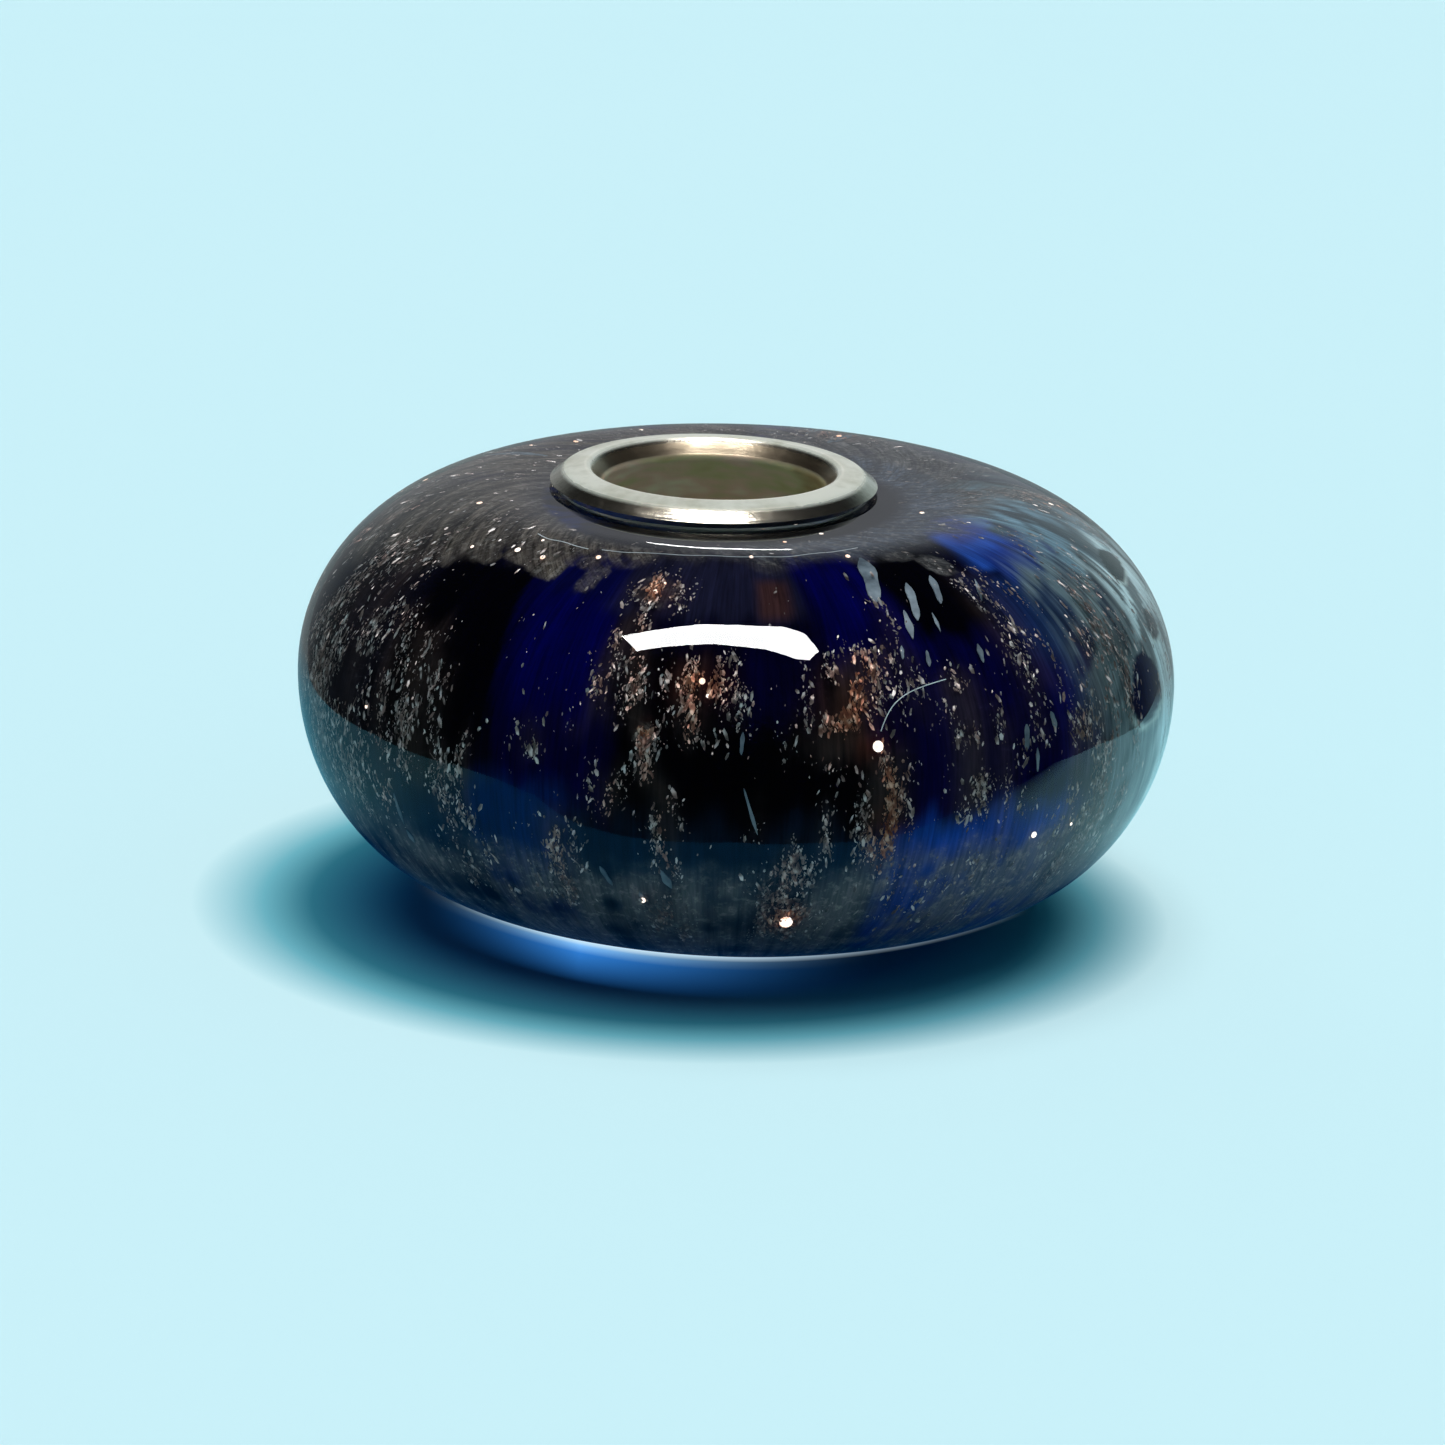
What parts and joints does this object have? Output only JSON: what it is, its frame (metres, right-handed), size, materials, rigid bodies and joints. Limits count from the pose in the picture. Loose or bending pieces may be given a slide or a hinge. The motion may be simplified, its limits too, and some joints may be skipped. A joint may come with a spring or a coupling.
{
  "type": "european charm bead",
  "caption": "Round cobalt glass charm bead with copper glitter streaks under a clear casing, on a flanged silver core whose bore slides onto a bracelet.",
  "frame": {"origin": "on the bore's axis, level with the widest circle of the glass", "axes": "+Z along the bore, towards the flange that faces up in the picture; -Y towards the picture's viewer, +X to the picture's right"},
  "size_m": [0.0145, 0.0144, 0.0073],
  "materials": {
    "silver": "polished, with fine scratches and light tarnish",
    "clear_glass": "flame polished",
    "cobalt_glass": "deep blue, nearly opaque",
    "goldstone": "copper glitter in glass",
    "silver_leaf": "pale metallic leaf in glass"
  },
  "bodies": {
    "root": {"clear_casing": "clear_glass", "cobalt_body": "cobalt_glass", "goldstone_streak_01": "goldstone", "goldstone_streak_02": "goldstone", "goldstone_streak_03": "goldstone", "goldstone_streak_04": "goldstone", "goldstone_streak_05": "goldstone", "goldstone_streak_06": "goldstone", "goldstone_streak_07": "goldstone", "goldstone_streak_08": "goldstone", "goldstone_streak_09": "goldstone", "goldstone_streak_10": "goldstone", "goldstone_streak_11": "goldstone", "goldstone_streak_12": "goldstone", "goldstone_streak_13": "goldstone", "goldstone_streak_14": "goldstone", "goldstone_streak_15": "goldstone", "goldstone_streak_16": "goldstone", "goldstone_streak_17": "goldstone", "goldstone_streak_18": "goldstone", "goldstone_streak_19": "goldstone", "goldstone_streak_20": "goldstone", "goldstone_streak_21": "goldstone", "goldstone_streak_22": "goldstone", "goldstone_streak_23": "goldstone", "goldstone_streak_24": "goldstone", "goldstone_streak_25": "goldstone", "goldstone_streak_26": "goldstone", "goldstone_streak_27": "goldstone", "silver_core": "silver", "silver_sliver_1": "silver_leaf", "silver_sliver_2": "silver_leaf", "silver_sliver_3": "silver_leaf", "silver_sliver_4": "silver_leaf", "silver_sliver_5": "silver_leaf", "silver_sliver_6": "silver_leaf"}
  },
  "joints": []
}
